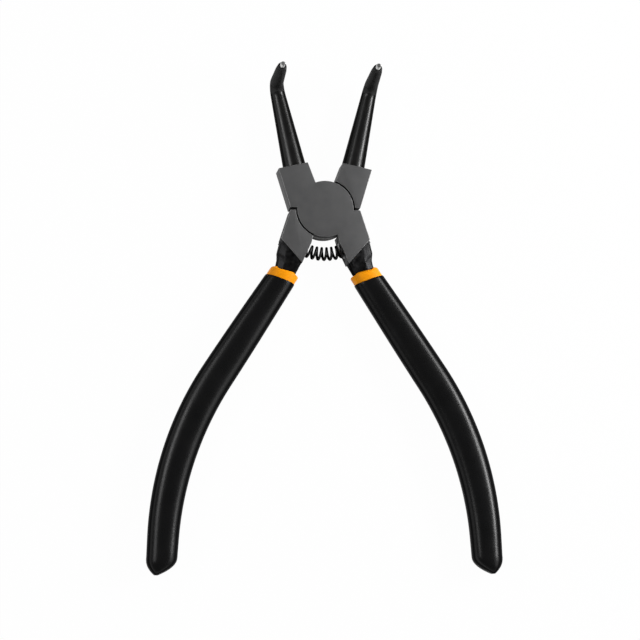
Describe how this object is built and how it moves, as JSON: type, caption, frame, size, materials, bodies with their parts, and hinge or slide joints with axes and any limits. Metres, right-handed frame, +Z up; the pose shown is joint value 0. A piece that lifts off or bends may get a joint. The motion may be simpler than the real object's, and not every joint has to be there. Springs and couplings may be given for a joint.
{
  "type": "bent-tip circlip pliers for internal rings",
  "caption": "Hand pliers with a lap joint, round noses bent up at a right angle with small steel pins, a coil return spring between the tangs and two dipped handles.",
  "frame": {"origin": "on the pivot axis, in the plane of the joint's flat back face, which is also the plane the tool lies on", "axes": "+Y towards the jaws, +X to the right as seen from the side the tips point to, +Z up out of the joint's front face, the way the bent tips point"},
  "size_m": [0.1196, 0.1695, 0.0275],
  "materials": {
    "tool_steel": "ground and blackened, matt",
    "spring_steel": "black oil-hardened wire",
    "bright_steel": "bright ground wire",
    "orange_vinyl": "dipped vinyl, satin",
    "black_vinyl": "dipped vinyl, satin with a fine grain"
  },
  "bodies": {
    "back_half": {"back_lever": "tool_steel", "right_tip_pin": "bright_steel", "left_undercoat": "orange_vinyl", "left_grip": "black_vinyl", "return_spring": "spring_steel"},
    "front_half": {"front_lever": "tool_steel", "pivot_pin": "tool_steel", "left_tip_pin": "bright_steel", "right_undercoat": "orange_vinyl", "right_grip": "black_vinyl"}
  },
  "joints": [
    {"name": "pivot", "type": "hinge", "parent": "back_half", "child": "front_half", "pos_m": [0, 0, 0], "axis": [0, 0, 1], "range_deg": [-34.5, 3], "stiffness_Nm_per_rad": 0.49, "deforming": ["return_spring"]}
  ]
}
